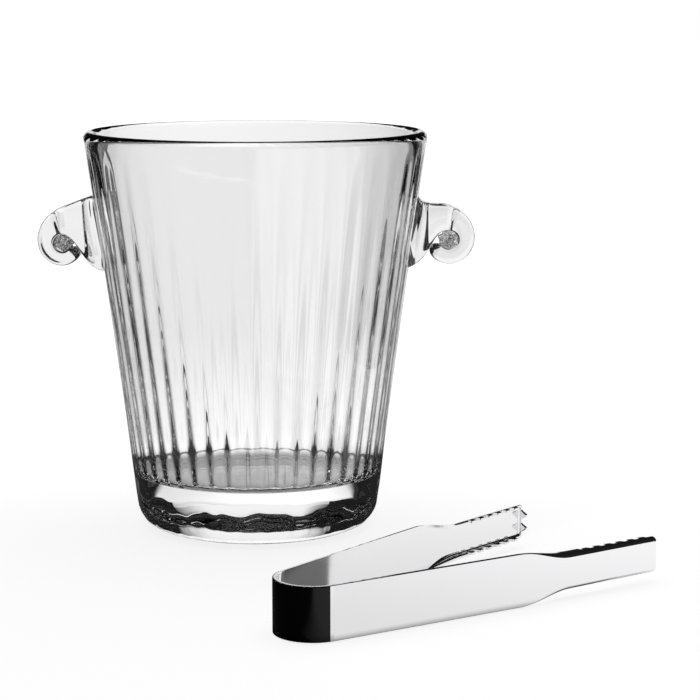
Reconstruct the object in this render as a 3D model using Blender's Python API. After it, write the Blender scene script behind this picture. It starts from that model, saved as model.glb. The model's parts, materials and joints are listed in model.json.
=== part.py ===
"""Crystal ice bucket with two scroll handles, and its spring ice tongs beside it.

Units are metres and +Z is up. The origin is the centre of the bucket's flat base,
the handles lie along X, and the tongs stand on their long edges in front (-Y).
"""

import math
from typing import NamedTuple

import bmesh
import bpy
from mathutils import Matrix, Vector

# ---------------------------------------------------------------- bucket sizes
HEIGHT = 0.200
FOOT_RADIUS = 0.0600          # outer cone carried down to the table
CONE_SLOPE = 0.1319           # gain in outer radius for each metre of height
WALL_DRAW_IN = 0.0006         # hollow of the outer wall at half height
HEEL_RADIUS = 0.013           # rounding between wall and base
LIP_RADIUS = 0.00315          # fire-polished rim, a half round
FLOOR_HEIGHT = 0.027          # thickness of the solid base
FLOOR_RADIUS = 0.0550         # inner cone carried down to the inside floor
FLOOR_FILLET = 0.007
FLUTES = 40
FLUTE_DEPTH = 0.0007          # half the ripple of the inner wall, at the floor
FLUTE_DEPTH_TOP = 0.0001      # the same at the lip
FACETS_PER_FLUTE = 2
ARC_STEPS = 8

# ---------------------------------------------------------------- handle sizes
EYE_X = 0.0965                # centre of the scroll, from the bucket's axis
FOOT_HALF_WIDTH = 0.0135
FLARE_SHARE = 0.40            # of the neck's length, where it widens to its foot
OUTER_FADE = math.radians(80)  # turn over which the scroll tightens
INNER_TURN = math.radians(170)
TIP_TURN = math.radians(30)   # length of the rounded tip, as an angle
PINCH_DEPTH = 0.0012          # V crease in the strap's sides where the curl begins
STRAP_SQUARENESS = 4.0        # 2 is a round rod, more is a flatter strap
NECK_STEPS = 10
CURL_STEPS = 34
ROD_SIDES = 16


class Scroll(NamedTuple):
    """One hand-drawn handle. Radii and neck points are measured from its eye."""
    eye_z: float
    foot_top_z: float         # where the handle meets the wall
    foot_bottom_z: float
    outer_start: float        # outer radius at the top of the scroll
    outer_end: float
    inner_start: float        # inner radius at the top of the scroll
    inner_end: float
    curl_turn: float
    half_width: float
    pinch_turn: float         # length of the crease, as an angle from the top
    neck_top: tuple           # two shaping points of the neck's upper outline
    neck_bottom: tuple        # two shaping points of its lower outline


LEFT_SCROLL = Scroll(
    eye_z=0.1433, foot_top_z=0.1678, foot_bottom_z=0.1300,
    outer_start=0.0189, outer_end=0.0098, inner_start=0.0050, inner_end=0.0032,
    curl_turn=math.radians(246), half_width=0.0098, pinch_turn=math.radians(24),
    neck_top=((-0.0108, 0.0232), (-0.0049, 0.0208)),
    neck_bottom=((-0.0095, -0.0128), (-0.0078, 0.0028)))
RIGHT_SCROLL = Scroll(
    eye_z=0.1452, foot_top_z=0.1672, foot_bottom_z=0.1316,
    outer_start=0.0176, outer_end=0.0113, inner_start=0.0049, inner_end=0.0039,
    curl_turn=math.radians(247), half_width=0.0082, pinch_turn=math.radians(15),
    neck_top=((-0.0122, 0.0164), (-0.0049, 0.0191)),
    neck_bottom=((-0.0066, -0.0080), (-0.0088, 0.0048)))

# ----------------------------------------------------------------- tongs sizes
TONGS_HINGE = Vector((0.0316, -0.1992, 0.0))   # centre of the bow
TONGS_HEADING = math.radians(42.1)             # from the bow towards the tips
HALF_ANGLE = math.radians(10.3)                # of each arm from that heading
BOW_RADIUS = 0.0170                            # outer face of the strip
STEEL = 0.0012                                 # strip thickness
STRIP_WIDTH = 0.0244
CLAW_WIDTH = 0.0169
ARM_LENGTH = 0.178                             # from bow to tip
SHOULDER = 0.104                               # bow to the middle of the bend
BEND_LENGTH = 0.012
BEND_ANGLE = math.radians(3.2)
NARROW_START = 0.096
NARROW_END = 0.126
FLANGE_START = 0.099
FLANGE_FULL = 0.124
TOOTH_PITCH = 0.0068
TOOTH_COUNT = 6
FIRST_TOOTH = 0.1338
TOOTH_RISE = 0.0011
TOOTH_TOP = 0.0026
FLANGE_DEPTH = 0.0046                          # outer face to tooth top
FLANGE_VALLEY = 0.0024
END_TOOTH_DEPTH = 0.0053
END_TOOTH_OFFSET = 0.00325
END_TOOTH_HALF = 0.0023
CORNER_CHAMFER = 0.0004
BOW_STEPS = 20
SLEEVE_THICKNESS = 0.0005
SLEEVE_INSET = 0.0002                          # sleeve edge below the strip's

GAP = 0.0003                                   # between neighbouring pieces


# -------------------------------------------------------------------- helpers
def clear_scene():
    for obj in list(bpy.data.objects):
        bpy.data.objects.remove(obj)


def make_material(name, colour, roughness, metallic=0.0, transmission=0.0):
    material = bpy.data.materials.new(name)
    material.use_nodes = True
    shader = material.node_tree.nodes["Principled BSDF"]
    shader.inputs["Base Color"].default_value = (*colour, 1.0)
    shader.inputs["Roughness"].default_value = roughness
    shader.inputs["Metallic"].default_value = metallic
    shader.inputs["Transmission Weight"].default_value = transmission
    return material


def smoothstep(low, high, value):
    t = min(1.0, max(0.0, (value - low) / (high - low)))
    return t * t * (3.0 - 2.0 * t)


def new_object(name, bm, material, smooth_angle=35.0):
    """Close the bmesh into a named object, with its faces pointing out."""
    bmesh.ops.recalc_face_normals(bm, faces=bm.faces)
    mesh = bpy.data.meshes.new(name)
    bm.to_mesh(mesh)
    bm.free()
    mesh.shade_smooth()
    mesh.set_sharp_from_angle(angle=math.radians(smooth_angle))
    mesh.materials.append(material)
    obj = bpy.data.objects.new(name, mesh)
    bpy.context.collection.objects.link(obj)
    return obj


def bridge(bm, ring_a, ring_b):
    """Join two closed rings that have the same number of vertices."""
    count = len(ring_a)
    for i in range(count):
        j = (i + 1) % count
        bm.faces.new((ring_a[i], ring_a[j], ring_b[j], ring_b[i]))


def loft(rings, cap_start=True, cap_end=True):
    """A closed solid through a list of rings of points."""
    bm = bmesh.new()
    loops = [[bm.verts.new(point) for point in ring] for ring in rings]
    for ring_a, ring_b in zip(loops, loops[1:]):
        bridge(bm, ring_a, ring_b)
    if cap_start:
        bm.faces.new(loops[0])
    if cap_end:
        bm.faces.new(loops[-1])
    return bm, loops


def bezier(points, t):
    p0, p1, p2, p3 = points
    s = 1.0 - t
    return p0 * s ** 3 + p1 * 3 * s * s * t + p2 * 3 * s * t * t + p3 * t ** 3


def mirrored(bm, axis):
    """Mirror a bmesh through the plane that faces along a local axis."""
    scale = Vector((1.0, 1.0, 1.0))
    scale[axis] = -1.0
    bmesh.ops.scale(bm, vec=scale, verts=bm.verts)
    bmesh.ops.reverse_faces(bm, faces=bm.faces)
    return bm


# --------------------------------------------------------------------- bucket
def outer_radius(z):
    along = z / HEIGHT
    return FOOT_RADIUS + CONE_SLOPE * z - 4.0 * WALL_DRAW_IN * along * (1.0 - along)


def bucket_profile():
    """Radius, height and flute depth, from the base up, over the lip and down."""
    lean_out = math.atan(CONE_SLOPE)
    profile = []

    heel_x = FOOT_RADIUS + CONE_SLOPE * HEEL_RADIUS - HEEL_RADIUS / math.cos(lean_out)
    for i in range(ARC_STEPS):
        angle = math.radians(-90) + (math.radians(90) - lean_out) * i / ARC_STEPS
        profile.append((heel_x + HEEL_RADIUS * math.cos(angle),
                        HEEL_RADIUS + HEEL_RADIUS * math.sin(angle), 0.0))

    lip_z = HEIGHT - LIP_RADIUS
    lip_x = FOOT_RADIUS + CONE_SLOPE * lip_z - LIP_RADIUS / math.cos(lean_out)
    wall_foot = HEEL_RADIUS * (1.0 - math.sin(lean_out))
    for i in range(4):
        z = wall_foot + (lip_z - wall_foot) * i / 4
        profile.append((outer_radius(z), z, 0.0))

    inner_slope = (lip_x - LIP_RADIUS - FLOOR_RADIUS) / (lip_z - FLOOR_HEIGHT)
    lean_in = math.atan(inner_slope)
    for i in range(2 * ARC_STEPS + 1):
        angle = -lean_out + (math.pi - lean_in + lean_out) * i / (2 * ARC_STEPS)
        profile.append((lip_x + LIP_RADIUS * math.cos(angle),
                        lip_z + LIP_RADIUS * math.sin(angle), 0.0))

    fillet_z = FLOOR_HEIGHT + FLOOR_FILLET
    fillet_x = FLOOR_RADIUS + inner_slope * FLOOR_FILLET - FLOOR_FILLET / math.cos(lean_in)
    wall_low = fillet_z - FLOOR_FILLET * math.sin(lean_in)
    wall_high = lip_z - LIP_RADIUS
    for i in range(5):
        z = wall_high + (wall_low - wall_high) * i / 4
        depth = FLUTE_DEPTH_TOP + (FLUTE_DEPTH - FLUTE_DEPTH_TOP) * i / 4
        profile.append((FLOOR_RADIUS + inner_slope * (z - FLOOR_HEIGHT), z, depth))

    for i in range(1, ARC_STEPS + 1):
        angle = -lean_in - (math.radians(90) - lean_in) * i / ARC_STEPS
        fade = 1.0 - i / ARC_STEPS
        profile.append((fillet_x + FLOOR_FILLET * math.cos(angle),
                        fillet_z + FLOOR_FILLET * math.sin(angle), FLUTE_DEPTH * fade))
    return profile


def build_bucket(material):
    sides = FLUTES * FACETS_PER_FLUTE
    rings = []
    for radius, z, depth in bucket_profile():
        ring = []
        for i in range(sides):
            angle = 2.0 * math.pi * i / sides
            r = radius + depth * math.cos(FLUTES * angle)
            ring.append((r * math.cos(angle), r * math.sin(angle), z))
        rings.append(ring)
    bm, _ = loft(rings)
    return new_object("bucket_body", bm, material)


# -------------------------------------------------------------------- handles
def scroll_outer(scroll, turn):
    tightening = math.exp(-turn / OUTER_FADE)
    return scroll.outer_end + (scroll.outer_start - scroll.outer_end) * tightening


def scroll_inner(scroll, turn):
    ramp = min(1.0, turn / INNER_TURN)
    fade = 0.5 * (1.0 + math.cos(math.pi * ramp))
    return scroll.inner_end + (scroll.inner_start - scroll.inner_end) * fade


def neck_curves(scroll):
    """Upper and lower outlines of the neck, from the wall to the scroll's top."""
    eye = Vector((EYE_X, scroll.eye_z))
    outlines = []
    for foot_z, shaping, end in ((scroll.foot_top_z, scroll.neck_top, scroll.outer_start),
                                 (scroll.foot_bottom_z, scroll.neck_bottom, scroll.inner_start)):
        wall = Vector((outer_radius(foot_z), foot_z))
        outlines.append((wall, eye + Vector(shaping[0]), eye + Vector(shaping[1]),
                         eye + Vector((0.0, end))))
    return outlines


def squared(value):
    return math.copysign(abs(value) ** (2.0 / STRAP_SQUARENESS), value)


def rod_ring(top, bottom, half_width):
    """A flattened ring whose highest and lowest points are given in the XZ plane."""
    middle = (top + bottom) / 2
    arm = (top - bottom) / 2
    ring = []
    for i in range(ROD_SIDES):
        angle = 2.0 * math.pi * i / ROD_SIDES
        point = middle + arm * squared(math.cos(angle))
        ring.append((point.x, half_width * squared(math.sin(angle)), point.y))
    return ring


def on_wall(ring, clearance):
    """Slide a ring along X until it lies just off the bucket's outer wall."""
    moved = []
    for _, y, z in ring:
        radius = outer_radius(z) + clearance
        moved.append((math.sqrt(radius * radius - y * y), y, z))
    return moved


def pinch(scroll, turn):
    across = abs(turn - scroll.pinch_turn / 2) / (scroll.pinch_turn / 2)
    return PINCH_DEPTH * max(0.0, 1.0 - across)


def scroll_rings(scroll):
    top_curve, bottom_curve = neck_curves(scroll)
    rings = []
    for i in range(1, NECK_STEPS):
        t = i / NECK_STEPS
        flare = max(0.0, 1.0 - t / FLARE_SHARE) ** 1.2
        width = scroll.half_width + (FOOT_HALF_WIDTH - scroll.half_width) * flare
        rings.append(rod_ring(bezier(top_curve, t), bezier(bottom_curve, t), width))
    eye = Vector((EYE_X, scroll.eye_z))
    for i in range(CURL_STEPS + 1):
        turn = scroll.curl_turn * i / CURL_STEPS
        outward = Vector((math.sin(turn), math.cos(turn)))
        middle = (scroll_outer(scroll, turn) + scroll_inner(scroll, turn)) / 2
        half = (scroll_outer(scroll, turn) - scroll_inner(scroll, turn)) / 2
        into_tip = min(0.985, max(0.0, (turn - scroll.curl_turn + TIP_TURN) / TIP_TURN))
        rounding = math.sqrt(1.0 - into_tip * into_tip)
        rings.append(rod_ring(eye + outward * (middle + half * rounding),
                              eye + outward * (middle - half * rounding),
                              (scroll.half_width - pinch(scroll, turn)) * rounding))
    return rings


def build_handle(name, side, scroll, material):
    top_curve, bottom_curve = neck_curves(scroll)
    clearance = 2 * GAP
    foot = rod_ring(top_curve[0], bottom_curve[0], FOOT_HALF_WIDTH)
    middle_z = (scroll.foot_top_z + scroll.foot_bottom_z) / 2
    inner_foot = [(x / 2, y / 2, (z + middle_z) / 2) for x, y, z in foot]
    rings = [on_wall(inner_foot, clearance), on_wall(foot, clearance)] + scroll_rings(scroll)
    bm, loops = loft(rings, cap_start=False)
    centre = bm.verts.new((outer_radius(middle_z) + clearance, 0.0, middle_z))
    for i, corner in enumerate(loops[0]):
        bm.faces.new((centre, loops[0][(i + 1) % ROD_SIDES], corner))
    if side < 0:
        mirrored(bm, 0)
    return new_object(name, bm, material)


# ---------------------------------------------------------------------- tongs
def arm_place(s):
    """Point on the arm's outer face at a distance from the bow, and its bearing."""
    start = Vector((-math.sin(HALF_ANGLE), math.cos(HALF_ANGLE))) * BOW_RADIUS
    bend_start = SHOULDER - BEND_LENGTH / 2
    straight = min(s, bend_start)
    point = start + Vector((math.cos(HALF_ANGLE), math.sin(HALF_ANGLE))) * straight
    bent = min(max(s - bend_start, 0.0), BEND_LENGTH)
    bearing = HALF_ANGLE - BEND_ANGLE * bent / BEND_LENGTH
    bend_radius = BEND_LENGTH / BEND_ANGLE
    point += Vector((math.sin(HALF_ANGLE) - math.sin(bearing),
                     math.cos(bearing) - math.cos(HALF_ANGLE))) * bend_radius
    beyond = max(0.0, s - bend_start - BEND_LENGTH)
    point += Vector((math.cos(bearing), math.sin(bearing))) * beyond
    return point, bearing


def arm_point(s, inward, z):
    point, bearing = arm_place(s)
    point = point + Vector((math.sin(bearing), -math.cos(bearing))) * inward
    return (point.x, point.y, z)


def half_height(s):
    narrowing = smoothstep(NARROW_START, NARROW_END, s)
    return (STRIP_WIDTH + (CLAW_WIDTH - STRIP_WIDTH) * narrowing) / 2


def claw_stations():
    """Distances from the bow, each with the flange's depth there."""
    stations = [(GAP, STEEL), (0.05, STEEL), (NARROW_START, STEEL), (FLANGE_START, STEEL)]
    steps = 6
    for i in range(1, steps + 1):
        along = FLANGE_START + (FLANGE_FULL - FLANGE_START) * i / steps
        rise = smoothstep(FLANGE_START, FLANGE_FULL, along)
        stations.append((along, STEEL + (FLANGE_DEPTH - STEEL) * rise))
    stations.append((FIRST_TOOTH - TOOTH_RISE, FLANGE_DEPTH))
    for i in range(TOOTH_COUNT):
        start = FIRST_TOOTH + i * TOOTH_PITCH
        top_end = start + TOOTH_RISE + TOOTH_TOP
        stations.append((start, FLANGE_VALLEY))
        stations.append((start + TOOTH_RISE, FLANGE_DEPTH))
        stations.append((top_end, FLANGE_DEPTH))
        stations.append((top_end + TOOTH_RISE, FLANGE_VALLEY))
    stations.append((ARM_LENGTH - STEEL / 2, FLANGE_VALLEY))
    return stations


def claw_ring(s, depth):
    top = STRIP_WIDTH / 2 + half_height(s)
    bottom = STRIP_WIDTH / 2 - half_height(s)
    corner = STEEL + CORNER_CHAMFER
    outline = ((0.0, top), (depth, top), (depth, top - STEEL), (STEEL, top - corner),
               (STEEL, bottom + corner), (depth, bottom + STEEL), (depth, bottom), (0.0, bottom))
    return [arm_point(s, inward, z) for inward, z in outline]


def end_plate_rings():
    """Flange across the tip, with two pointed teeth on its free edge."""
    middle = STRIP_WIDTH / 2
    half = CLAW_WIDTH / 2
    outline = [(0.0, middle - half), (FLANGE_VALLEY, middle - half)]
    for centre in (middle - END_TOOTH_OFFSET, middle + END_TOOTH_OFFSET):
        outline.append((FLANGE_VALLEY, centre - END_TOOTH_HALF))
        outline.append((END_TOOTH_DEPTH, centre - END_TOOTH_HALF / 4))
        outline.append((END_TOOTH_DEPTH, centre + END_TOOTH_HALF / 4))
        outline.append((FLANGE_VALLEY, centre + END_TOOTH_HALF))
    outline += [(FLANGE_VALLEY, middle + half), (0.0, middle + half)]
    return [[arm_point(s, inward, z) for inward, z in outline]
            for s in (ARM_LENGTH - STEEL, ARM_LENGTH)]


def build_arm(name, side, material, hinge):
    bm, _ = loft([claw_ring(s, depth) for s, depth in claw_stations()])
    plate_bm, _ = loft(end_plate_rings())
    if side < 0:
        mirrored(bm, 1)
        mirrored(plate_bm, 1)
    arm = new_object(name, bm, material, smooth_angle=20.0)
    plate = new_object(name + "_end_plate_cutter", plate_bm, material)
    plate.hide_render = True
    plate.display_type = "WIRE"
    union = arm.modifiers.new("end_plate", "BOOLEAN")
    union.operation = "UNION"
    union.solver = "EXACT"
    union.object = plate
    for obj in (arm, plate):
        obj.parent = hinge
    return arm


def arc_rings(inner, outer, low, high):
    """Rectangular rings round the bow, from one arm's root to the other's."""
    start = math.radians(90) + HALF_ANGLE
    end = math.radians(270) - HALF_ANGLE
    rings = []
    for i in range(BOW_STEPS + 1):
        angle = start + (end - start) * i / BOW_STEPS
        out = Vector((math.cos(angle), math.sin(angle)))
        rings.append([(out.x * r, out.y * r, z)
                      for r, z in ((inner, low), (outer, low), (outer, high), (inner, high))])
    return rings


def build_tongs(steel, sleeve_black):
    hinge = bpy.data.objects.new("tongs_hinge_axis", None)
    bpy.context.collection.objects.link(hinge)
    hinge.matrix_world = Matrix.Translation(TONGS_HINGE) @ Matrix.Rotation(TONGS_HEADING, 4, "Z")

    bow_bm, _ = loft(arc_rings(BOW_RADIUS - STEEL, BOW_RADIUS, 0.0, STRIP_WIDTH))
    bow = new_object("tongs_bow_spring", bow_bm, steel)
    bow.parent = hinge

    sleeve_inner = BOW_RADIUS + GAP
    sleeve_bm, _ = loft(arc_rings(sleeve_inner, sleeve_inner + SLEEVE_THICKNESS,
                                  SLEEVE_INSET, STRIP_WIDTH - SLEEVE_INSET))
    sleeve = new_object("tongs_bow_sleeve", sleeve_bm, sleeve_black)
    sleeve.parent = hinge

    build_arm("tongs_near_arm", -1, steel.copy(), hinge)
    build_arm("tongs_far_arm", 1, steel.copy(), hinge)


def main():
    clear_scene()
    glass = make_material("clear_crystal", (0.96, 0.97, 0.97), 0.02, transmission=1.0)
    steel = make_material("polished_steel", (0.78, 0.78, 0.79), 0.12, metallic=1.0)
    black = make_material("gloss_black_sleeve", (0.02, 0.02, 0.02), 0.15)
    build_bucket(glass)
    build_handle("right_handle", 1, RIGHT_SCROLL, glass.copy())
    build_handle("left_handle", -1, LEFT_SCROLL, glass.copy())
    build_tongs(steel, black)


main()
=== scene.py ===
"""Looks of the crystal ice bucket and its tongs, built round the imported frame."""

import json
import math
from typing import NamedTuple

import bmesh
import bpy
from mathutils import Matrix, Vector, noise


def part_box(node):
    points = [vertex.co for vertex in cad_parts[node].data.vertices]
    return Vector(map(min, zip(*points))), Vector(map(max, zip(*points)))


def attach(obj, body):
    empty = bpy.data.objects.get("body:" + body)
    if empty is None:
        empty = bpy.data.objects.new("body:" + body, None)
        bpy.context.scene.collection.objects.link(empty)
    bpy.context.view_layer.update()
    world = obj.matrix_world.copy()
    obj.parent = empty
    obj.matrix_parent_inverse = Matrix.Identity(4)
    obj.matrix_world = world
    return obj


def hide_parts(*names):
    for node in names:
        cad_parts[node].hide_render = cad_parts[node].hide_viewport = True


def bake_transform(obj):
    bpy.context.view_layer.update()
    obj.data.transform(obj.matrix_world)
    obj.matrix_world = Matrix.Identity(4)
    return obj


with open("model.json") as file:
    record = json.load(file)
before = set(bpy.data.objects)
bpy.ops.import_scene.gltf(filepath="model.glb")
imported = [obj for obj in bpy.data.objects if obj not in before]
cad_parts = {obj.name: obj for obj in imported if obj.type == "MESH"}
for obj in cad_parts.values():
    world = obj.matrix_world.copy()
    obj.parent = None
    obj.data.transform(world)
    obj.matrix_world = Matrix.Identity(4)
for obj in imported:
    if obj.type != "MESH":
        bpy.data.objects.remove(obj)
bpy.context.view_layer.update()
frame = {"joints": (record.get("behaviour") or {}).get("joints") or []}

# ---------------------------------------------------------------- bucket sizes
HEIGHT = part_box("bucket_body")[1].z
FOOT_RADIUS = 0.0600          # outer cone carried down to the table
CONE_SLOPE = 0.1319
WALL_DRAW_IN = 0.0006
HEEL_RADIUS = 0.013
LIP_RADIUS = 0.00315
FLOOR_HEIGHT = 0.027
FLOOR_RADIUS = 0.0550         # inner cone carried down to the inside floor
FLOOR_FILLET = 0.007
FLUTES = 40
FLUTE_SAMPLES = 14            # facets across one flute
FLUTE_DEPTH = 0.00056         # half the ripple of the inner wall, at the floor
FLUTE_DEPTH_TOP = 0.00004
FLUTE_FALL = 1.5              # power of the growth in depth, from the lip down
FLUTE_START = 0.06            # share of the wall below the lip where flutes fade in
FLUTE_WANDER = 0.7            # unevenness of the flutes' places, radians of phase
FLUTE_UNEVEN = 0.5            # and of their depth, as a share
BASE_RIPPLE = 0.00014         # unevenness of the underside
BASE_RIPPLE_START = 0.052     # radius where it starts,
BASE_RIPPLE_FULL = 0.044      # and where it is full
HEEL_SWELL = 0.0008           # unevenness of the heel
HEEL_SWELL_TOP = 0.024
WALL_STEPS = 56
ARC_STEPS = 10
BASE_STEPS = 40
FLOOR_STEPS = 5

# ---------------------------------------------------------------- handle sizes
EYE_X = 0.0965                # centre of the scroll, from the bucket's axis
FOOT_HALF_WIDTH = 0.0145
OUTER_FADE = math.radians(80)
INNER_TURN = math.radians(170)
TIP_TURN = math.radians(30)
FOOT_CLEARANCE = 0.00008      # handle to wall
FLARE_SHARE = 0.36            # of the neck's length, from the wall
FLARE_CURVE = 1.1             # power of the flare: 1 is straight
FOOT_RINGS = (0.25, 0.5, 0.75, 0.92, 1.0)
PINCH_DEPTH = 0.0012
TIP_END = 0.998               # the tip's rounding stops just short of a point
CORE_WIDTH = 0.8              # crumpled glass in the eye, as a share of the strap's width
CORE_PUCKER = 0.55
CORE_COARSE = 420.0           # how close together the puckers are
CORE_FINE = 1000.0
CORE_FINE_SHARE = 0.4
NECK_STEPS = 30
CURL_STEPS = 90
ROD_SIDES = 72
STRAP_SQUARENESS = 5.5        # 2 is a round rod, more is a flatter strap


class Scroll(NamedTuple):
    """One hand-drawn handle. Radii and neck points are measured from its eye."""
    eye_z: float
    foot_top_z: float
    foot_bottom_z: float
    outer_start: float
    outer_end: float
    inner_start: float
    inner_end: float
    curl_turn: float
    half_width: float
    pinch_turn: float
    neck_top: tuple
    neck_bottom: tuple


LEFT_SCROLL = Scroll(
    eye_z=0.1433, foot_top_z=0.1678, foot_bottom_z=0.1300,
    outer_start=0.0189, outer_end=0.0098, inner_start=0.0050, inner_end=0.0032,
    curl_turn=math.radians(251), half_width=0.0098, pinch_turn=math.radians(24),
    neck_top=((-0.0108, 0.0232), (-0.0049, 0.0208)),
    neck_bottom=((-0.0095, -0.0128), (-0.0078, 0.0028)))
RIGHT_SCROLL = Scroll(
    eye_z=0.1452, foot_top_z=0.1672, foot_bottom_z=0.1316,
    outer_start=0.0176, outer_end=0.0113, inner_start=0.0049, inner_end=0.0039,
    curl_turn=math.radians(253), half_width=0.0082, pinch_turn=math.radians(15),
    neck_top=((-0.0122, 0.0164), (-0.0049, 0.0191)),
    neck_bottom=((-0.0066, -0.0080), (-0.0088, 0.0048)))

# ----------------------------------------------------------------- tongs sizes
HINGE = next(Vector(j["pos_m"]) for j in frame["joints"] if j["name"] == "near_arm_squeeze")
TONGS_HEADING = math.radians(42.1)
HALF_ANGLE = math.radians(10.3)
BOW_RADIUS = 0.0170
STEEL = 0.0012
STRIP_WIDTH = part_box("tongs_bow_spring")[1].z
CLAW_WIDTH = 0.0169
ARM_LENGTH = 0.178
SHOULDER = 0.104
BEND_LENGTH = 0.012
BEND_ANGLE = math.radians(3.2)
NARROW_START = 0.096
NARROW_END = 0.126
FLANGE_START = 0.099
FLANGE_FULL = 0.124
TOOTH_PITCH = 0.0068
TOOTH_COUNT = 6
FIRST_TOOTH = 0.1338
TOOTH_RISE = 0.0011
TOOTH_TOP = 0.0026
FLANGE_DEPTH = 0.0046
FLANGE_VALLEY = 0.0024
END_TOOTH_DEPTH = 0.0053
END_TOOTH_OFFSET = 0.00325
END_TOOTH_HALF = 0.0023
END_TOOTH_FLAT = 0.12         # share of a half tooth that is level
EDGE_RADIUS = 0.00035         # rounded outer edge of the plain strip
FOLD_RADIUS = 0.0023          # outer radius of the folded flanges
INNER_RADIUS = 0.00006
FOLD_STEPS = 5
CORNER_STEPS = 10
END_STEPS = 44
PLAIN_STEP = 0.004            # between stations along the plain arm,
NARROW_STEP = 0.001           # where it narrows,
TOOTH_STEP = 0.00028          # and along the teeth
BOW_STEP = 0.0006
BLACK_BAND_STEP = 0.0005
TIP_CORNER = 0.0024
RIM_BEVEL = 0.00018
BOW_HALF_ARC = (math.radians(90) - HALF_ANGLE) * BOW_RADIUS
# A thin gloss-black band laid over the outside of the steel bow.
BLACK_BAND_END = -0.0018          # short of where the arm begins
BLACK_BAND_THICKNESS = 0.00042
BLACK_BAND_CLEARANCE = 0.00002
BLACK_BAND_INSET = 0.00015
BLACK_BAND_BEVEL = 0.00032

# --------------------------------------------------------------------- studio
PANEL_FULL = 12               # azimuths either side of straight back, degrees
PANEL_EDGE = 48
PANEL_TOP = 5                 # elevations, degrees
PANEL_FADE = 7.5
PANEL_LIGHT = 1.0
GLASS_PANEL_EDGE = 34         # the taller panel that shows through the glass
GLASS_PANEL_TOP = 36
GLASS_PANEL_FADE = 46
STUDIO_LIGHT = 0.015
TABLE_NEAR = 0.86             # glow of the table under the set, and far behind it
TABLE_FAR = 1.15
LIT_APEX = 0.01               # the lit wedge of floor opens this far behind the axis
LIT_CORE = 2                  # azimuths either side, degrees: brightest to here,
LIT_EASE = 24                 # eased to LIT_SIDE by here,
LIT_FULL = 28                 # and cut off between these two
LIT_SPREAD = 36
LIT_SIDE = 0.76
LIT_LEAN = 8                  # the brightest part lies this far to the left
LIT_CLOSE = 1.13              # times this at the bucket's axis,
LIT_FAR = 0.87                # falling to this at LIT_DEPTH behind it
LIT_DEPTH = 0.62
LIT_HIGH = 1.16               # light of a lit part, and of the dark floor
LIT_LOW = 0.03
BESIDE_LEFT = 0.015           # a second lit part, right of the bucket and in front of it,
BESIDE_LEFT_FULL = 0.05       # opens between these two in X,
BESIDE_BACK = -0.14           # and between these two in Y less X
BESIDE_BACK_FULL = -0.18
BESIDE_LEVEL = 0.88           # its light at BESIDE_DIM in X, and the rise to BESIDE_BRIGHT
BESIDE_RISE = 0.22
BESIDE_DIM = 0.04
BESIDE_BRIGHT = 0.28
SHADOW_NEAR_SLOPE = 0.62      # a dark strip of floor between the arms, from the near arm
SHADOW_NEAR_START = -0.2388
SHADOW_EDGE_SLOPE = 0.264     # to this line
SHADOW_EDGE_START = -0.1760
SHADOW_LEVEL = 0.15
NOTCH_SIZE = 0.0026           # the far edge of the strip is notched
NOTCH_DEPTH = 0.22            # as a share of NOTCH_SIZE
CONTACT_REACH = 0.009         # the floor darkens this close to a piece
CONTACT_POWER = 1.6
TABLE_Z = -0.0004             # three floors, one above the other
LIT_FLOOR_Z = -0.0003
SHADE_Z = -0.0002
FLOOR_SIZE = (16.0, 12.0)
FLOOR_BACK = 4.0              # the floors' centre lies this far behind the set
FLAG_ASIDE = 0.30             # dark cards either side, hidden from the camera
FLAG_FRONT = -0.10
FLAG_BACK = 0.62
FLAG_HEIGHT = 0.8
FLAG_LIGHT = 0.01
SHADE = 0.22                  # the floor under the bucket's base
SHADE_RADIUS = 0.052
LAMP_SIZE = 1.6
LAMP_POWER = 6.0
LAMP_PLACE = (0.0, 0.2, 1.3)
CAMERA_LENS = 113.66
CAMERA_PLACE = (0.0472, -1.108, 0.272)
CAMERA_TILT = 80.6            # degrees, 90 is level

# --------------------------------------------------------------------- looks
GLASS_IOR = 1.53
BUCKET_CLEARNESS = 0.975      # base colours: both are faintly greyer than real crystal,
HANDLE_SHADED_CLEARNESS = 0.93       # and the handles more so: their extra grey is painted shade


# -------------------------------------------------------------------- helpers
def smoothstep(low, high, value):
    t = min(1.0, max(0.0, (value - low) / (high - low)))
    return t * t * (3.0 - 2.0 * t)


def bezier(points, t):
    p0, p1, p2, p3 = points
    s = 1.0 - t
    return p0 * s ** 3 + p1 * 3 * s * s * t + p2 * 3 * s * t * t + p3 * t ** 3


def new_piece(name, bm, material, sharp_angle=None):
    bmesh.ops.recalc_face_normals(bm, faces=bm.faces)
    mesh = bpy.data.meshes.new(name)
    bm.to_mesh(mesh)
    bm.free()
    mesh.shade_smooth()
    if sharp_angle is not None:
        mesh.set_sharp_from_angle(angle=math.radians(sharp_angle))
    mesh.materials.append(material)
    piece = bpy.data.objects.new(name, mesh)
    bpy.context.scene.collection.objects.link(piece)
    return piece


def bridge(bm, ring_a, ring_b, closed=True):
    count = len(ring_a)
    for i in range(count if closed else count - 1):
        j = (i + 1) % count
        bm.faces.new((ring_a[i], ring_a[j], ring_b[j], ring_b[i]))


# ------------------------------------------------------------------ materials
def shader_material(name):
    material = bpy.data.materials.new(name)
    material.use_nodes = True
    tree = material.node_tree
    return material, tree, tree.nodes["Principled BSDF"]


def add_bump(tree, shader, height_socket, strength, distance):
    bump = tree.nodes.new("ShaderNodeBump")
    bump.inputs["Strength"].default_value = strength
    bump.inputs["Distance"].default_value = distance
    tree.links.new(height_socket, bump.inputs["Height"])
    tree.links.new(bump.outputs["Normal"], shader.inputs["Normal"])


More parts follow.
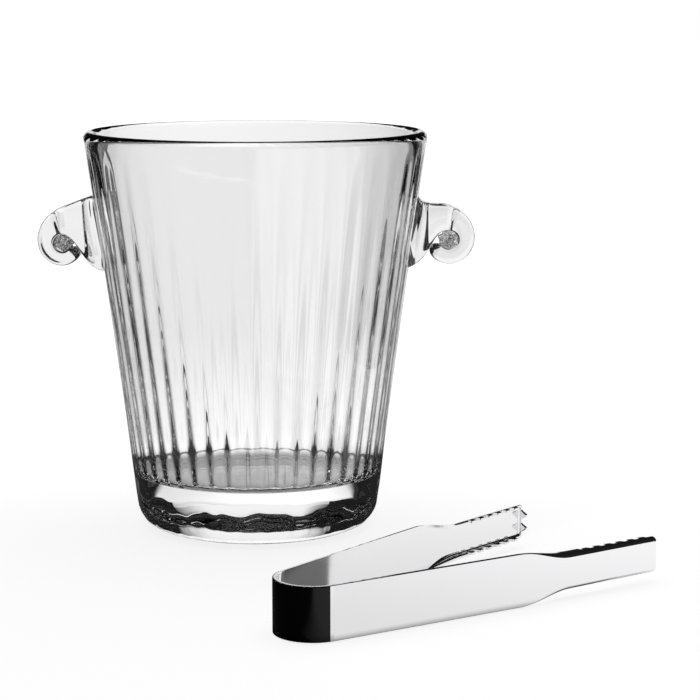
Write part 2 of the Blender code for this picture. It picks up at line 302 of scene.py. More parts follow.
def object_noise(tree, stretch, scale, detail=2.0):
    coords = tree.nodes.new("ShaderNodeTexCoord")
    mapping = tree.nodes.new("ShaderNodeMapping")
    mapping.inputs["Scale"].default_value = stretch
    texture = tree.nodes.new("ShaderNodeTexNoise")
    texture.inputs["Scale"].default_value = scale
    texture.inputs["Detail"].default_value = detail
    tree.links.new(coords.outputs["Object"], mapping.inputs["Vector"])
    tree.links.new(mapping.outputs["Vector"], texture.inputs["Vector"])
    return texture


def crystal_glass(name, clearness):
    material, _, shader = shader_material(name)
    shader.inputs["Base Color"].default_value = (clearness, clearness, clearness, 1.0)
    shader.inputs["Roughness"].default_value = 0.0
    shader.inputs["IOR"].default_value = GLASS_IOR
    shader.inputs["Transmission Weight"].default_value = 1.0
    return material


def polished_steel():
    material, tree, shader = shader_material("mirror_polished_steel")
    shader.inputs["Base Color"].default_value = (0.83, 0.83, 0.84, 1.0)
    shader.inputs["Metallic"].default_value = 1.0
    shader.inputs["Roughness"].default_value = 0.07
    scratches = object_noise(tree, stretch=(1.0, 1.0, 12.0), scale=220.0, detail=6.0)
    spread = tree.nodes.new("ShaderNodeMapRange")
    spread.inputs["To Min"].default_value = 0.05
    spread.inputs["To Max"].default_value = 0.11
    tree.links.new(scratches.outputs["Fac"], spread.inputs["Value"])
    tree.links.new(spread.outputs["Result"], shader.inputs["Roughness"])
    add_bump(tree, shader, scratches.outputs["Fac"], strength=0.05, distance=0.00003)
    return material


# Gloss black, for the thin band laid over the outside of the steel bow.
def gloss_black():
    material, tree, shader = shader_material("gloss_black_sleeve")
    shader.inputs["Base Color"].default_value = (0.003, 0.003, 0.003, 1.0)
    shader.inputs["Roughness"].default_value = 0.16
    shader.inputs["IOR"].default_value = 1.33
    ripple = object_noise(tree, stretch=(1.0, 1.0, 1.0), scale=160.0)
    add_bump(tree, shader, ripple.outputs["Fac"], strength=0.04, distance=0.0001)
    return material


# --------------------------------------------------------------------- bucket
def outer_radius(z):
    along = z / HEIGHT
    return FOOT_RADIUS + CONE_SLOPE * z - 4.0 * WALL_DRAW_IN * along * (1.0 - along)


def bucket_profile():
    """Radius, height and flute depth, from the base up, over the lip and down."""
    lean_out = math.atan(CONE_SLOPE)
    profile = []

    heel_x = FOOT_RADIUS + CONE_SLOPE * HEEL_RADIUS - HEEL_RADIUS / math.cos(lean_out)
    for i in range(1, BASE_STEPS):
        profile.append((heel_x * i / BASE_STEPS, 0.0, 0.0))
    for i in range(ARC_STEPS):
        angle = math.radians(-90) + (math.radians(90) - lean_out) * i / ARC_STEPS
        profile.append((heel_x + HEEL_RADIUS * math.cos(angle),
                        HEEL_RADIUS + HEEL_RADIUS * math.sin(angle), 0.0))

    lip_z = HEIGHT - LIP_RADIUS
    lip_x = FOOT_RADIUS + CONE_SLOPE * lip_z - LIP_RADIUS / math.cos(lean_out)
    wall_foot = HEEL_RADIUS * (1.0 - math.sin(lean_out))
    for i in range(WALL_STEPS):
        z = wall_foot + (lip_z - wall_foot) * i / WALL_STEPS
        profile.append((outer_radius(z), z, 0.0))

    inner_slope = (lip_x - LIP_RADIUS - FLOOR_RADIUS) / (lip_z - FLOOR_HEIGHT)
    lean_in = math.atan(inner_slope)
    for i in range(2 * ARC_STEPS + 1):
        angle = -lean_out + (math.pi - lean_in + lean_out) * i / (2 * ARC_STEPS)
        profile.append((lip_x + LIP_RADIUS * math.cos(angle),
                        lip_z + LIP_RADIUS * math.sin(angle), 0.0))

    fillet_z = FLOOR_HEIGHT + FLOOR_FILLET
    fillet_x = FLOOR_RADIUS + inner_slope * FLOOR_FILLET - FLOOR_FILLET / math.cos(lean_in)
    wall_low = fillet_z - FLOOR_FILLET * math.sin(lean_in)
    wall_high = lip_z - LIP_RADIUS
    for i in range(WALL_STEPS + 1):
        down = i / WALL_STEPS
        z = wall_high + (wall_low - wall_high) * down
        depth = FLUTE_DEPTH_TOP + (FLUTE_DEPTH - FLUTE_DEPTH_TOP) * down ** FLUTE_FALL
        depth *= smoothstep(0.0, FLUTE_START, down)
        profile.append((FLOOR_RADIUS + inner_slope * (z - FLOOR_HEIGHT), z, depth))

    for i in range(1, ARC_STEPS + 1):
        angle = -lean_in - (math.radians(90) - lean_in) * i / ARC_STEPS
        fade = 1.0 - i / ARC_STEPS
        profile.append((fillet_x + FLOOR_FILLET * math.cos(angle),
                        fillet_z + FLOOR_FILLET * math.sin(angle), FLUTE_DEPTH * fade))
    for i in range(FLOOR_STEPS - 1, 0, -1):
        profile.append((fillet_x * i / FLOOR_STEPS, FLOOR_HEIGHT, 0.0))
    return profile


def heel_swell(angle, z):
    """Hand-worked unevenness of the heel, gone by the top of the solid base."""
    low = smoothstep(0.0, 0.003, z) * (1.0 - smoothstep(0.010, HEEL_SWELL_TOP, z))
    place = Vector((math.cos(angle), math.sin(angle), z * 6.0)) * 4.5
    return HEEL_SWELL * low * (noise.noise(place) + 0.5 * noise.noise(place * 2.3))


def base_lift(x, y, r):
    """The slightly uneven underside, level again where it meets the table."""
    rough = noise.noise(Vector((x, y, 0.0)) * 30.0)
    inside = 1.0 - smoothstep(BASE_RIPPLE_FULL, BASE_RIPPLE_START, r)
    return BASE_RIPPLE * (1.2 + rough) * inside


def build_bucket(material):
    sides = FLUTES * FLUTE_SAMPLES
    bm = bmesh.new()
    loops = []
    for radius, z, depth in bucket_profile():
        loop = []
        for i in range(sides):
            angle = 2.0 * math.pi * i / sides
            across, along = math.cos(angle), math.sin(angle)
            wobble = FLUTE_WANDER * noise.noise(Vector((across, along, 0.0)) * 3.0)
            uneven = 1.0 + FLUTE_UNEVEN * noise.noise(Vector((across, along, z)) * 7.0)
            r = radius + depth * uneven * math.cos(FLUTES * angle + wobble)
            x, y = r * across, r * along
            lift = base_lift(x, y, r) if z == 0.0 else 0.0
            swell = 1.0 + heel_swell(angle, z) / r if r > 0.045 else 1.0
            loop.append(bm.verts.new((x * swell, y * swell, z + lift)))
        loops.append(loop)
    for loop_a, loop_b in zip(loops, loops[1:]):
        bridge(bm, loop_a, loop_b)
    for loop, z in ((loops[0], 0.0), (loops[-1], FLOOR_HEIGHT)):
        centre = bm.verts.new((0.0, 0.0, z))
        for i in range(sides):
            bm.faces.new((centre, loop[i], loop[(i + 1) % sides]))
    piece = new_piece("bucket_glass", bm, material)
    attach(piece, "bucket")
    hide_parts("bucket_body")


# -------------------------------------------------------------------- handles
def scroll_outer(scroll, turn):
    tightening = math.exp(-turn / OUTER_FADE)
    return scroll.outer_end + (scroll.outer_start - scroll.outer_end) * tightening


def scroll_inner(scroll, turn):
    ramp = min(1.0, turn / INNER_TURN)
    fade = 0.5 * (1.0 + math.cos(math.pi * ramp))
    return scroll.inner_end + (scroll.inner_start - scroll.inner_end) * fade


def neck_curves(scroll):
    eye = Vector((EYE_X, scroll.eye_z))
    outlines = []
    for foot_z, shaping, end in ((scroll.foot_top_z, scroll.neck_top, scroll.outer_start),
                                 (scroll.foot_bottom_z, scroll.neck_bottom, scroll.inner_start)):
        wall = Vector((outer_radius(foot_z), foot_z))
        outlines.append((wall, eye + Vector(shaping[0]), eye + Vector(shaping[1]),
                         eye + Vector((0.0, end))))
    return outlines


def squared(value):
    return math.copysign(abs(value) ** (2.0 / STRAP_SQUARENESS), value)


def rod_ring(top, bottom, half_width):
    """A section of the strap: a rounded rectangle, nearly flat on its four sides."""
    middle = (top + bottom) / 2
    arm = (top - bottom) / 2
    ring = []
    for i in range(ROD_SIDES):
        angle = 2.0 * math.pi * i / ROD_SIDES
        point = middle + arm * squared(math.cos(angle))
        ring.append((point.x, half_width * squared(math.sin(angle)), point.y))
    return ring


def on_wall(ring):
    moved = []
    for _, y, z in ring:
        radius = outer_radius(z) + FOOT_CLEARANCE
        moved.append((math.sqrt(radius * radius - y * y), y, z))
    return moved


def pinch(scroll, turn):
    """The V crease across the strap's sides where the curl begins."""
    across = abs(turn - scroll.pinch_turn / 2) / (scroll.pinch_turn / 2)
    return PINCH_DEPTH * max(0.0, 1.0 - across)


def scroll_rings(scroll):
    top_curve, bottom_curve = neck_curves(scroll)
    rings = []
    for i in range(1, NECK_STEPS):
        t = i / NECK_STEPS
        flare = max(0.0, 1.0 - t / FLARE_SHARE) ** FLARE_CURVE
        width = scroll.half_width + (FOOT_HALF_WIDTH - scroll.half_width) * flare
        rings.append(rod_ring(bezier(top_curve, t), bezier(bottom_curve, t), width))
    eye = Vector((EYE_X, scroll.eye_z))
    for i in range(CURL_STEPS + 1):
        turn = scroll.curl_turn * math.sin(math.pi / 2 * i / CURL_STEPS)
        outward = Vector((math.sin(turn), math.cos(turn)))
        middle = (scroll_outer(scroll, turn) + scroll_inner(scroll, turn)) / 2
        half = (scroll_outer(scroll, turn) - scroll_inner(scroll, turn)) / 2
        into_tip = min(TIP_END, max(0.0, (turn - scroll.curl_turn + TIP_TURN) / TIP_TURN))
        rounding = math.sqrt(1.0 - into_tip * into_tip)
        rings.append(rod_ring(eye + outward * (middle + half * rounding),
                              eye + outward * (middle - half * rounding),
                              (scroll.half_width - pinch(scroll, turn)) * rounding))
    return rings


def crumpled_core(bm, eye, scroll):
    """The puckered glass left in the eye where the strap was rolled up."""
    radius = (scroll.inner_start + scroll.inner_end) / 2
    size = Matrix.Diagonal((radius, scroll.half_width * CORE_WIDTH, radius, 1.0))
    made = bmesh.ops.create_icosphere(bm, subdivisions=5, radius=1.0,
                                      matrix=Matrix.Translation(eye) @ size)
    for vert in made["verts"]:
        away = vert.co - eye
        pucker = noise.noise(vert.co * CORE_COARSE)
        pucker += CORE_FINE_SHARE * noise.noise(vert.co * CORE_FINE)
        vert.co += away * CORE_PUCKER * pucker


def build_handle(name, node, side, scroll, material):
    top_curve, bottom_curve = neck_curves(scroll)
    foot = rod_ring(top_curve[0], bottom_curve[0], FOOT_HALF_WIDTH)
    middle_z = (scroll.foot_top_z + scroll.foot_bottom_z) / 2
    rings = []
    for share in FOOT_RINGS:
        inner = [(x, y * share, middle_z + (z - middle_z) * share) for x, y, z in foot]
        rings.append(on_wall(inner))
    rings += scroll_rings(scroll)
    bm = bmesh.new()
    loops = [[bm.verts.new((side * x, y, z)) for x, y, z in ring] for ring in rings]
    for loop_a, loop_b in zip(loops, loops[1:]):
        bridge(bm, loop_a, loop_b)
    centre = bm.verts.new((side * (outer_radius(middle_z) + FOOT_CLEARANCE), 0.0, middle_z))
    for i in range(ROD_SIDES):
        bm.faces.new((centre, loops[0][(i + 1) % ROD_SIDES], loops[0][i]))
    bm.faces.new(loops[-1])
    crumpled_core(bm, Vector((side * EYE_X, 0.0, scroll.eye_z)), scroll)
    piece = new_piece(name, bm, material, sharp_angle=60)
    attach(piece, "bucket")
    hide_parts(node)


# ---------------------------------------------------------------------- tongs
TONGS_PLACE = Matrix.Translation((HINGE.x, HINGE.y, 0.0)) @ Matrix.Rotation(TONGS_HEADING, 4, "Z")


def arm_place(s):
    """Point on the strip's outer face at a distance from the bow's end, and its bearing.

    Negative distances lie on the bow, towards its back.
    """
    if s < 0.0:
        bearing = HALF_ANGLE - s / BOW_RADIUS
        return Vector((-math.sin(bearing), math.cos(bearing))) * BOW_RADIUS, bearing
    start = Vector((-math.sin(HALF_ANGLE), math.cos(HALF_ANGLE))) * BOW_RADIUS
    bend_start = SHOULDER - BEND_LENGTH / 2
    point = start + Vector((math.cos(HALF_ANGLE), math.sin(HALF_ANGLE))) * min(s, bend_start)
    bent = min(max(s - bend_start, 0.0), BEND_LENGTH)
    bearing = HALF_ANGLE - BEND_ANGLE * bent / BEND_LENGTH
    bend_radius = BEND_LENGTH / BEND_ANGLE
    point += Vector((math.sin(HALF_ANGLE) - math.sin(bearing),
                     math.cos(bearing) - math.cos(HALF_ANGLE))) * bend_radius
    beyond = max(0.0, s - bend_start - BEND_LENGTH)
    point += Vector((math.cos(bearing), math.sin(bearing))) * beyond
    return point, bearing


def strip_point(side, s, inward, z):
    point, bearing = arm_place(s)
    point = point + Vector((math.sin(bearing), -math.cos(bearing))) * inward
    return TONGS_PLACE @ Vector((point.x, side * point.y, z))


def half_height(s):
    return (STRIP_WIDTH + (CLAW_WIDTH - STRIP_WIDTH) * smoothstep(NARROW_START, NARROW_END, s)) / 2


def tooth_wave(offset, rise, top):
    """1 on a tooth's top, 0 in the valley beside it, from the tooth's start."""
    return smoothstep(0.0, rise, offset) * (1.0 - smoothstep(rise + top, 2 * rise + top, offset))


def side_flange(s):
    plain = STEEL + INNER_RADIUS + 0.00002
    if s < FIRST_TOOTH - TOOTH_RISE:
        return plain + (FLANGE_DEPTH - plain) * smoothstep(FLANGE_START, FLANGE_FULL, s)
    if s < FIRST_TOOTH:
        return FLANGE_DEPTH + (FLANGE_VALLEY - FLANGE_DEPTH) * smoothstep(
            FIRST_TOOTH - TOOTH_RISE, FIRST_TOOTH, s)
    offset = (s - FIRST_TOOTH) % TOOTH_PITCH
    if s - FIRST_TOOTH > TOOTH_COUNT * TOOTH_PITCH:
        return FLANGE_VALLEY
    wave = tooth_wave(offset, TOOTH_RISE, TOOTH_TOP)
    return FLANGE_VALLEY + (FLANGE_DEPTH - FLANGE_VALLEY) * wave


def end_flange(z):
    distance = abs(abs(z) - END_TOOTH_OFFSET)
    wave = 1.0 - smoothstep(END_TOOTH_HALF * END_TOOTH_FLAT, END_TOOTH_HALF, distance)
    return FLANGE_VALLEY + (END_TOOTH_DEPTH - FLANGE_VALLEY) * wave


def side_stations(start, end, step):
    count = max(1, round((end - start) / step))
    return [start + (end - start) * i / count for i in range(count)]


def rib(s, z, normal, depth, fold):
    """Outer and inner points across one edge, as (s, inward, z) triples.

    normal points out of the plate's outline, in (s, z). Both lists run from the
    free edge of the flange round the fold to the flat of the plate.
    """
    outer, inner = [], []
    inner_fold = max(fold - STEEL, INNER_RADIUS)
    for points, inset, radius in ((outer, 0.0, fold), (inner, STEEL, inner_fold)):
        reach = inset + radius
        for inward in (depth, (depth + reach) / 2):
            points.append((s - normal[0] * inset, inward, z - normal[1] * inset))
        for i in range(FOLD_STEPS + 1):
            angle = math.pi / 2 * i / FOLD_STEPS
            back = inset + radius * (1.0 - math.cos(angle))
            inward = inset + radius * (1.0 - math.sin(angle))
            points.append((s - normal[0] * back, inward, z - normal[1] * back))
    return outer, inner


def side_rib(s, sign):
    step = 0.0002
    slope = (half_height(s + step) - half_height(s - step)) / (2 * step)
    size = math.hypot(slope, 1.0)
    fold = EDGE_RADIUS + (FOLD_RADIUS - EDGE_RADIUS) * smoothstep(FLANGE_START, FLANGE_FULL, s)
    return rib(s, sign * half_height(s), (-slope / size, sign / size), side_flange(s), fold)


def corner_rib(angle, centre_z):
    """A rib on one rounded corner of the tip."""
    normal = (math.cos(angle), math.sin(angle))
    return rib(ARM_LENGTH - TIP_CORNER + TIP_CORNER * normal[0],
               centre_z + TIP_CORNER * normal[1], normal, FLANGE_VALLEY, FOLD_RADIUS)


def tip_ribs():
    """Ribs round the two corners and the toothed end, from the bottom up."""
    ribs = []
    corner_z = CLAW_WIDTH / 2 - TIP_CORNER
    quarter = math.pi / 2
    for i in range(1, CORNER_STEPS + 1):
        ribs.append(corner_rib(-quarter + quarter * i / CORNER_STEPS, -corner_z))
    span = 2 * corner_z
    for i in range(1, END_STEPS):
        z = -span / 2 + span * i / END_STEPS
        ribs.append(rib(ARM_LENGTH, z, (1.0, 0.0), end_flange(z), FOLD_RADIUS))
    for i in range(CORNER_STEPS):
        ribs.append(corner_rib(quarter * i / CORNER_STEPS, corner_z))
    return ribs


def strip_mesh(side, stations, tip):
    """A stretch of the strip: two edges of ribs, the plate between, and the tip."""
    bm = bmesh.new()
    middle = STRIP_WIDTH / 2

    def place(rib_points):
        return [bm.verts.new(strip_point(side, s, inward, middle + z))
                for s, inward, z in rib_points]

    lower = [[place(layer) for layer in side_rib(s, -1)] for s in stations]
    upper = [[place(layer) for layer in side_rib(s, 1)] for s in stations]
    around = [[place(layer) for layer in ribs] for ribs in tip_ribs()] if tip else []
    chains = [lower + around + upper[::-1]] if tip else [lower, upper]
    rim = []
    for chain in chains:
        for rib_a, rib_b in zip(chain, chain[1:]):
            for layer in (0, 1):
                bridge(bm, rib_a[layer], rib_b[layer], closed=False)
            edge = bm.faces.new((rib_a[0][0], rib_b[0][0], rib_b[1][0], rib_a[1][0]))
            rim += [e for e in edge.edges
                    if {e.verts[0], e.verts[1]} in ({rib_a[0][0], rib_b[0][0]},
                                                    {rib_a[1][0], rib_b[1][0]})]
    for layer in (0, 1):
        for i in range(len(stations) - 1):
            bm.faces.new((lower[i][layer][-1], lower[i + 1][layer][-1],
                          upper[i + 1][layer][-1], upper[i][layer][-1]))
        if tip:
            ring = [lower[-1][layer][-1]] + [r[layer][-1] for r in around]
            bm.faces.new(ring + [upper[-1][layer][-1]])
    for i in (0,) if tip else (0, -1):
        bm.faces.new(lower[i][0] + upper[i][0][::-1] + upper[i][1] + lower[i][1][::-1])
    bmesh.ops.recalc_face_normals(bm, faces=bm.faces)
    bmesh.ops.bevel(bm, geom=rim, offset=RIM_BEVEL, segments=2, profile=0.5,
                    affect="EDGES", clamp_overlap=True)
    return bm


def finish_steel(piece):
    weighted = piece.modifiers.new("even_shading", "WEIGHTED_NORMAL")
    weighted.keep_sharp = True
    weighted.weight = 100


def build_arm(name, node, body, side, material):
    stations = side_stations(0.0, NARROW_START, PLAIN_STEP)
    stations += side_stations(NARROW_START, FIRST_TOOTH - TOOTH_RISE, NARROW_STEP)
    stations += side_stations(FIRST_TOOTH - TOOTH_RISE, ARM_LENGTH - TIP_CORNER, TOOTH_STEP)
    stations.append(ARM_LENGTH - TIP_CORNER)
    piece = new_piece(name, strip_mesh(side, stations, True), material, sharp_angle=40)
    finish_steel(piece)
    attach(piece, body)
    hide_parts(node)


def bow_blend(piece, side):
    """Bakes the piece's placement into its mesh. The half bow's curve from the bow's back to the
    root of its own arm is built with its mesh.
    """
    strip_point(side, -BOW_HALF_ARC, 0.0, 0.0)
    strip_point(side, 0.0, 0.0, 0.0)
    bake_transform(piece)


def build_bow_half(name, side, material):
    stations = side_stations(-BOW_HALF_ARC, 0.0, BOW_STEP) + [0.0]
    piece = new_piece(name, strip_mesh(side, stations, False), material, sharp_angle=40)
    bow_blend(piece, side)
    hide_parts("tongs_bow_spring")


def build_black_band_half(name, side, material):
    """A thin gloss band round the outside of the bow, rounded at its free end."""
    bm = bmesh.new()
    low, high = BLACK_BAND_INSET, STRIP_WIDTH - BLACK_BAND_INSET
    skin = -BLACK_BAND_CLEARANCE
    face = skin - BLACK_BAND_THICKNESS
    loops = []
    for s in side_stations(-BOW_HALF_ARC, BLACK_BAND_END, BLACK_BAND_STEP) + [BLACK_BAND_END]:
        section = ((skin, low), (face, low), (face, high), (skin, high))
        loops.append([bm.verts.new(strip_point(side, s, inward, z)) for inward, z in section])
    for loop_a, loop_b in zip(loops, loops[1:]):
        bridge(bm, loop_a, loop_b)
    bm.faces.new(loops[0])
    bm.faces.new(loops[-1])
    bmesh.ops.recalc_face_normals(bm, faces=bm.faces)
    edges = []
    for loop_a, loop_b in zip(loops, loops[1:]):
        for corner in (1, 2):
            edges.append(bm.edges.get((loop_a[corner], loop_b[corner])))
    edges.append(bm.edges.get((loops[-1][1], loops[-1][2])))
    bmesh.ops.bevel(bm, geom=edges, offset=BLACK_BAND_BEVEL, segments=4, profile=0.5,
                    affect="EDGES", clamp_overlap=True)
    piece = new_piece(name, bm, material, sharp_angle=50)
    bow_blend(piece, side)
    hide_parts("tongs_bow_sleeve")


# ---------------------------------------------------------------------- stage
def stage_card(name, size_x, size_y, place, turn, material):
    bm = bmesh.new()
    half_x, half_y = size_x / 2, size_y / 2
    corners = ((-half_x, -half_y), (half_x, -half_y), (half_x, half_y), (-half_x, half_y))
    bm.faces.new([bm.verts.new((x, y, 0.0)) for x, y in corners])
    card = new_piece(name, bm, material)
    card.matrix_world = Matrix.Translation(place) @ turn
    return card


def grey_card_material(name, value):
    material, _, shader = shader_material(name)
    shader.inputs["Base Color"].default_value = (0.0, 0.0, 0.0, 1.0)
    shader.inputs["Specular IOR Level"].default_value = 0.0
    shader.inputs["Roughness"].default_value = 1.0
    shader.inputs["Emission Color"].default_value = (1.0, 1.0, 1.0, 1.0)
    shader.inputs["Emission Strength"].default_value = value
    return material


def build_stage():
    level = Matrix.Identity(4)
    width, depth = FLOOR_SIZE
    # The floor the camera sees, and the one the glass and the steel see.
    table = stage_card("table", width, depth, Vector((0.0, FLOOR_BACK, TABLE_Z)), level,
                       table_material())
    table.visible_glossy = False
    table.visible_transmission = False
    table.visible_diffuse = False
    lit_floor = stage_card("lit_floor", width, depth, Vector((0.0, FLOOR_BACK, LIT_FLOOR_Z)),
                           level, lit_floor_material())
    lit_floor.visible_camera = False
    lit_floor.visible_shadow = False

    shade = new_disc("under_bucket", SHADE_RADIUS, SHADE_Z,
                     grey_card_material("shaded_floor", SHADE))
    shade.visible_camera = False

    upright = Matrix.Rotation(math.radians(90), 4, "Y")
    flag = grey_card_material("dark_flag", FLAG_LIGHT)
    for name, side in (("left_flag", -1), ("right_flag", 1)):
        place = Vector((side * FLAG_ASIDE, (FLAG_BACK + FLAG_FRONT) / 2, FLAG_HEIGHT / 2))
        card = stage_card(name, FLAG_HEIGHT, FLAG_BACK - FLAG_FRONT, place, upright, flag)
        card.visible_camera = False
        card.visible_diffuse = False
        card.visible_shadow = False

    lamp = bpy.data.lights.new("overhead", "AREA")
    lamp.shape = "RECTANGLE"
    lamp.size = LAMP_SIZE
    lamp.size_y = LAMP_SIZE
    lamp.energy = LAMP_POWER
    lamp_object = bpy.data.objects.new("overhead", lamp)
    lamp_object.location = LAMP_PLACE
    lamp_object.visible_glossy = False
    lamp_object.visible_transmission = False
    lamp_object.visible_camera = False
    bpy.context.scene.collection.objects.link(lamp_object)


def new_disc(name, radius, z, material):
    bm = bmesh.new()
    bmesh.ops.create_circle(bm, cap_ends=True, segments=96, radius=radius,
                            matrix=Matrix.Translation((0.0, 0.0, z)))
    return new_piece(name, bm, material)


def math_node(tree, operation, *inputs):
    node = tree.nodes.new("ShaderNodeMath")
    node.operation = operation
    for socket, value in zip(node.inputs, inputs):
        if isinstance(value, (int, float)):
            socket.default_value = value
        else:
            tree.links.new(value, socket)
    return node.outputs["Value"]


def fade_node(tree, value, start, end):
    """1 at start, easing to 0 at end."""
    node = tree.nodes.new("ShaderNodeMapRange")
    node.interpolation_type = "SMOOTHSTEP"
    node.inputs["From Min"].default_value = start
    node.inputs["From Max"].default_value = end
    node.inputs["To Min"].default_value = 1.0
    node.inputs["To Max"].default_value = 0.0
    tree.links.new(value, node.inputs["Value"])
    return node.outputs["Result"]


def line_node(tree, x, y, slope, start):
    """How far in Y a point lies past the line y = start + slope * x."""
    return math_node(tree, "SUBTRACT", y, math_node(tree, "MULTIPLY_ADD", x, slope, start))


def floor_axes(tree):
    geometry = tree.nodes.new("ShaderNodeNewGeometry")
    axes = tree.nodes.new("ShaderNodeSeparateXYZ")
    tree.links.new(geometry.outputs["Position"], axes.inputs["Vector"])
    return axes.outputs["X"], axes.outputs["Y"]


def table_material():
    """White and softly glossy, a little brighter towards the horizon."""
    material, tree, shader = shader_material("white_table")
    shader.inputs["Base Color"].default_value = (0.9, 0.9, 0.9, 1.0)
    shader.inputs["Roughness"].default_value = 0.08
    shader.inputs["IOR"].default_value = 1.14
    shader.inputs["Emission Color"].default_value = (1.0, 1.0, 1.0, 1.0)
    _, y = floor_axes(tree)
    near = fade_node(tree, y, -0.05, 0.5)
    strength = math_node(tree, "MULTIPLY_ADD", near, TABLE_NEAR - TABLE_FAR, TABLE_FAR)
    tree.links.new(strength, shader.inputs["Emission Strength"])
    return material


def lit_behind(tree, x, y):
    """Light of the wedge of floor behind the bucket, brightest left of its middle."""
    past_apex = math_node(tree, "SUBTRACT", y, LIT_APEX)
    bearing = math_node(tree, "ARCTAN2", x, past_apex)
    azimuth = math_node(tree, "ABSOLUTE", bearing)
    leaning = math_node(tree, "ABSOLUTE",
                        math_node(tree, "ADD", bearing, math.radians(LIT_LEAN)))
    core = fade_node(tree, leaning, math.radians(LIT_CORE), math.radians(LIT_EASE))
    close = fade_node(tree, y, 0.0, LIT_DEPTH)
    behind = math_node(tree, "MULTIPLY",
                       math_node(tree, "MULTIPLY_ADD", core, 1.0 - LIT_SIDE, LIT_SIDE),
                       fade_node(tree, azimuth, math.radians(LIT_FULL),
                                 math.radians(LIT_SPREAD)))
    return math_node(tree, "MULTIPLY", behind,
                     math_node(tree, "MULTIPLY_ADD", close, LIT_CLOSE - LIT_FAR, LIT_FAR))


def lit_beside(tree, x, y):
    """Light of the floor to the right of the bucket and in front of it."""
    right = math_node(tree, "SUBTRACT", 1.0, fade_node(tree, x, BESIDE_LEFT, BESIDE_LEFT_FULL))
    ahead = fade_node(tree, math_node(tree, "SUBTRACT", y, x), BESIDE_BACK_FULL, BESIDE_BACK)
    rising = fade_node(tree, x, BESIDE_BRIGHT, BESIDE_DIM)
    level = math_node(tree, "MULTIPLY_ADD", rising, BESIDE_RISE / LIT_HIGH,
                      BESIDE_LEVEL / LIT_HIGH)
    return math_node(tree, "MULTIPLY", math_node(tree, "MULTIPLY", right, ahead), level)


def arm_shadow(tree, x, y):
    """1 on a dark strip of floor between the arms, with a notched edge, and 0 off it.

    The far arm mirrors the strip, from about the camera's own angle.
    """
    past_near_arm = line_node(tree, x, y, SHADOW_NEAR_SLOPE, SHADOW_NEAR_START)
    notches = math_node(tree, "MULTIPLY", math_node(tree, "PINGPONG", x, NOTCH_SIZE),
                        NOTCH_DEPTH)
    before_edge = math_node(tree, "SUBTRACT", notches,
                            line_node(tree, x, y, SHADOW_EDGE_SLOPE, SHADOW_EDGE_START))
    return math_node(tree, "MULTIPLY", fade_node(tree, past_near_arm, 0.001, -0.001),
                     fade_node(tree, before_edge, 0.0003, -0.0003))


def lit_floor_material():
    """The hidden floor: dark, with the lit parts and a contact shadow round each piece."""
    material, tree, shader = shader_material("lit_floor")
    shader.inputs["Base Color"].default_value = (0.0, 0.0, 0.0, 1.0)
    shader.inputs["Specular IOR Level"].default_value = 0.0
    shader.inputs["Emission Color"].default_value = (1.0, 1.0, 1.0, 1.0)
    x, y = floor_axes(tree)
    behind = lit_behind(tree, x, y)
    beside = lit_beside(tree, x, y)
    inside = arm_shadow(tree, x, y)
    beside = math_node(tree, "MULTIPLY", beside,
                       math_node(tree, "MULTIPLY_ADD", inside, SHADOW_LEVEL - 1.0, 1.0))
    lit = math_node(tree, "MAXIMUM", behind, beside)
    contact = tree.nodes.new("ShaderNodeAmbientOcclusion")
    contact.inputs["Distance"].default_value = CONTACT_REACH
    contact.samples = 6
    open_floor = math_node(tree, "POWER", contact.outputs["AO"], CONTACT_POWER)
    strength = math_node(tree, "MULTIPLY",
                         math_node(tree, "MULTIPLY_ADD", lit, LIT_HIGH - LIT_LOW, LIT_LOW),
                         open_floor)
    tree.links.new(strength, shader.inputs["Emission Strength"])
    return material


def panel_node(tree, aside, height, edge, top, fade):
    """A lit panel straight back: edge, top and fade are angles in degrees."""
    return math_node(tree, "MULTIPLY",
                     fade_node(tree, aside, math.radians(PANEL_FULL), math.radians(edge)),
                     fade_node(tree, height, math.sin(math.radians(top)),
                               math.sin(math.radians(fade))))


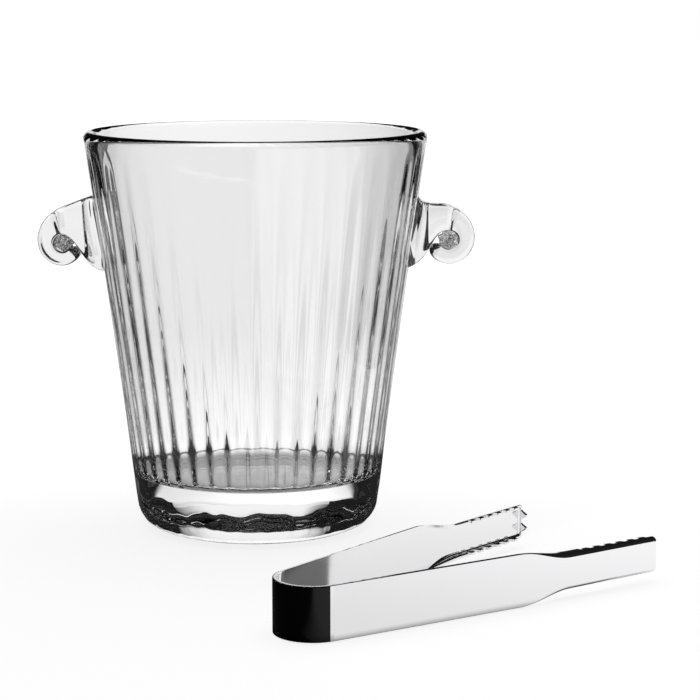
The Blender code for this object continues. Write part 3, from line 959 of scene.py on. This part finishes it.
def build_world():
    """A dark studio with a low lit panel behind, and a taller one seen through glass."""
    world = bpy.data.worlds.new("studio")
    bpy.context.scene.world = world
    world.use_nodes = True
    tree = world.node_tree
    background = tree.nodes["Background"]
    coords = tree.nodes.new("ShaderNodeTexCoord")
    axes = tree.nodes.new("ShaderNodeSeparateXYZ")
    tree.links.new(coords.outputs["Generated"], axes.inputs["Vector"])
    azimuth = math_node(tree, "ARCTAN2", axes.outputs["X"], axes.outputs["Y"])
    aside = math_node(tree, "ABSOLUTE", azimuth)
    low = panel_node(tree, aside, axes.outputs["Z"], PANEL_EDGE, PANEL_TOP, PANEL_FADE)
    tall = panel_node(tree, aside, axes.outputs["Z"],
                      GLASS_PANEL_EDGE, GLASS_PANEL_TOP, GLASS_PANEL_FADE)
    path = tree.nodes.new("ShaderNodeLightPath")
    through = math_node(tree, "MULTIPLY", tall, path.outputs["Is Transmission Ray"])
    panel = math_node(tree, "MAXIMUM", low, through)
    light = math_node(tree, "MULTIPLY_ADD", panel, PANEL_LIGHT - STUDIO_LIGHT, STUDIO_LIGHT)
    shown = math_node(tree, "MAXIMUM", light, path.outputs["Is Camera Ray"])
    tree.links.new(shown, background.inputs["Strength"])
    background.inputs["Color"].default_value = (1.0, 1.0, 1.0, 1.0)


def build_camera():
    camera = bpy.data.objects.new("camera", bpy.data.cameras.new("camera"))
    camera.data.lens = CAMERA_LENS
    camera.data.sensor_width = 36.0
    camera.location = CAMERA_PLACE
    camera.rotation_euler = (math.radians(CAMERA_TILT), 0.0, 0.0)
    bpy.context.scene.collection.objects.link(camera)
    bpy.context.scene.camera = camera


def main():
    scene = bpy.context.scene
    scene.view_settings.view_transform = "Standard"
    scene.cycles.max_bounces = 24
    scene.cycles.transmission_bounces = 24
    scene.cycles.glossy_bounces = 12
    build_camera()
    build_world()
    build_stage()

    build_bucket(crystal_glass("clear_crystal", BUCKET_CLEARNESS))
    # The handles get a greyer copy of the crystal, as painted shade.
    shaded_handle_glass = crystal_glass("shaded_handle_crystal", HANDLE_SHADED_CLEARNESS)
    build_handle("left_scroll_handle", "left_handle", -1, LEFT_SCROLL, shaded_handle_glass)
    build_handle("right_scroll_handle", "right_handle", 1, RIGHT_SCROLL, shaded_handle_glass)

    steel = polished_steel()
    black = gloss_black()
    build_arm("near_claw_arm", "tongs_near_arm", "near_arm", -1, steel)
    build_arm("far_claw_arm", "tongs_far_arm", "far_arm", 1, steel)
    build_bow_half("bow_near_half", -1, steel)
    build_bow_half("bow_far_half", 1, steel)
    build_black_band_half("black_band_near_half", -1, black)
    build_black_band_half("black_band_far_half", 1, black)


def plain(corners):
    return [[float(value) for value in corner] for corner in corners]


main()
